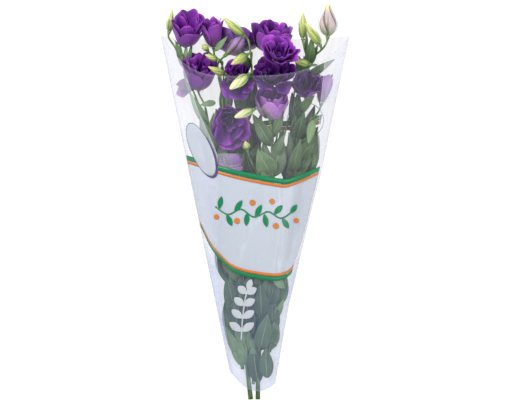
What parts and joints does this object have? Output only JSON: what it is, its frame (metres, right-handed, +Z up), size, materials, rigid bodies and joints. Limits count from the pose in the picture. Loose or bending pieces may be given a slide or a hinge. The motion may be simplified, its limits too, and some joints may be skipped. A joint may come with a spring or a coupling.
{
  "type": "bunch of purple lisianthus in a clear film sleeve",
  "caption": "Retail bunch of purple double lisianthus with green and mauve buds and leafy stems, held in a conical clear film sleeve printed with a plain pale band, lying on its back.",
  "frame": {"origin": "on the surface that the bunch lies on, under the middle of its bounding box", "axes": "+Z up out of the front panel, +Y along the stems towards the flowers, +X to the right as seen from the front"},
  "size_m": [0.29, 0.62, 0.1168],
  "materials": {
    "petal": "velvety petal, deep violet, greyer on the underside",
    "bud_green": "smooth waxy bud, yellow-green, greener at the base",
    "bud_mauve": "smooth furled petals, pale mauve with a yellow-green tip",
    "stem_leaf": "waxy blue-green leaf and stem",
    "film": "clear glossy film with a translucent pale band between green and orange stripes"
  },
  "bodies": {
    "root": {"bloom_1": "petal", "bloom_2": "petal", "bloom_3": "petal", "bloom_4": "petal", "bloom_5": "petal", "bloom_6": "petal", "bloom_7": "petal", "bloom_8": "petal", "bloom_9": "petal", "bloom_10": "petal", "bloom_11": "petal", "bloom_12": "petal", "bloom_13": "petal", "bud_1": "bud_green", "bud_2": "bud_green", "bud_3": "bud_green", "bud_4": "bud_green", "bud_5": "bud_mauve", "bud_6": "bud_mauve", "bud_7": "bud_green", "bud_8": "bud_green", "bud_9": "bud_green", "bud_10": "bud_green", "bud_11": "bud_green", "bud_12": "bud_green", "bud_13": "bud_green", "bud_14": "bud_green", "stem_a": "stem_leaf", "stem_b": "stem_leaf", "stem_c": "stem_leaf", "stem_d": "stem_leaf", "stem_e": "stem_leaf", "sleeve": "film"}
  },
  "joints": []
}
